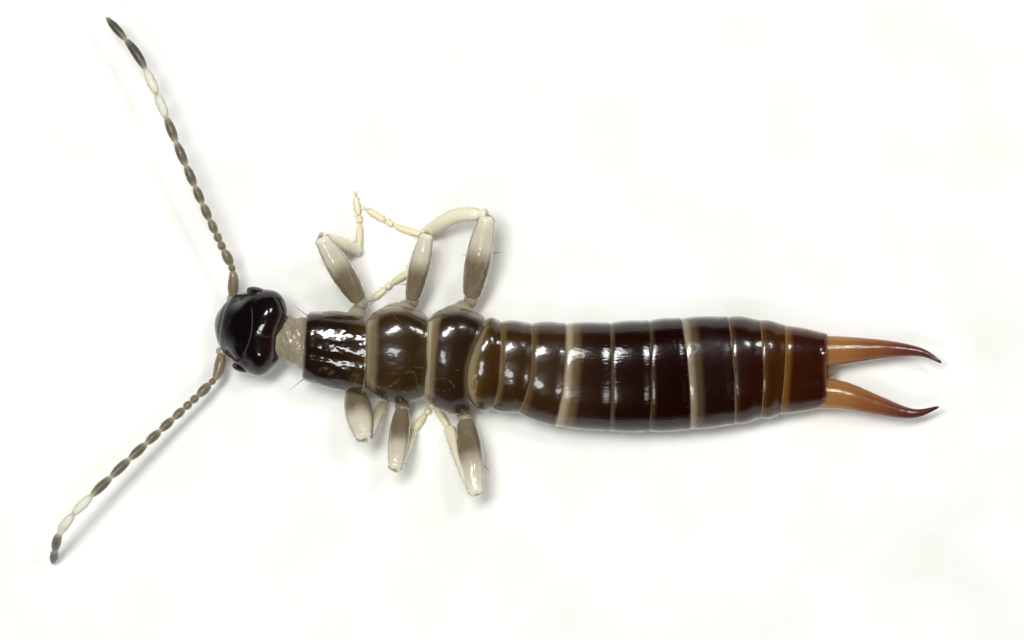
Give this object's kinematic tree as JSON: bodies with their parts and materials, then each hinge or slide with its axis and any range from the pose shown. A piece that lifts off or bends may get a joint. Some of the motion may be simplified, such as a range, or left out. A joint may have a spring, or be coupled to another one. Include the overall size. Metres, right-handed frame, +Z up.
{
  "type": "wingless earwig, still life-size model",
  "caption": "Slender wingless earwig standing with spread beaded feelers, bent legs, ringed abdomen and a pair of curved tail forceps.",
  "frame": {"origin": "middle of the animal's outline on the floor, between the feelers' tips and the forceps' tips", "axes": "+X from the head to the forceps, +Y to the animal's right side, +Z up"},
  "size_m": [0.0122, 0.0075, 0.0011],
  "materials": {
    "black_shell": "gloss",
    "brown_shell": "gloss",
    "amber_shell": "gloss",
    "membrane": "satin",
    "thigh": "gloss",
    "shin": "satin",
    "feeler": "satin",
    "pale_feeler": "satin",
    "eye": "gloss"
  },
  "bodies": {
    "root": {"abdomen_1": "brown_shell", "abdomen_10": "amber_shell", "abdomen_2": "brown_shell", "abdomen_3": "brown_shell", "abdomen_4": "black_shell", "abdomen_5": "black_shell", "abdomen_6": "black_shell", "abdomen_7": "black_shell", "abdomen_8": "amber_shell", "abdomen_9": "amber_shell", "eye_left": "eye", "eye_right": "eye", "feeler_left_flagellum_base": "feeler", "feeler_left_flagellum_mid": "feeler", "feeler_left_flagellum_pale": "pale_feeler", "feeler_left_flagellum_tip": "feeler", "feeler_left_scape": "feeler", "feeler_right_flagellum_base": "feeler", "feeler_right_flagellum_mid": "feeler", "feeler_right_flagellum_pale": "pale_feeler", "feeler_right_flagellum_tip": "feeler", "feeler_right_scape": "feeler", "forceps_left": "amber_shell", "forceps_right": "amber_shell", "fore_left_femur": "thigh", "fore_left_tarsus": "shin", "fore_left_tibia": "shin", "fore_right_femur": "thigh", "fore_right_tarsus": "shin", "fore_right_tibia": "shin", "head": "black_shell", "hind_left_femur": "thigh", "hind_left_tarsus": "shin", "hind_left_tibia": "shin", "hind_right_femur": "thigh", "hind_right_tarsus": "shin", "hind_right_tibia": "shin", "mesothorax": "brown_shell", "metathorax": "brown_shell", "mid_left_femur": "thigh", "mid_left_tarsus": "shin", "mid_left_tibia": "shin", "mid_right_femur": "thigh", "mid_right_tarsus": "shin", "mid_right_tibia": "shin", "mouthparts": "brown_shell", "neck": "membrane", "palp_left": "membrane", "palp_right": "membrane", "prothorax": "black_shell", "pygidium": "brown_shell"}
  },
  "joints": []
}
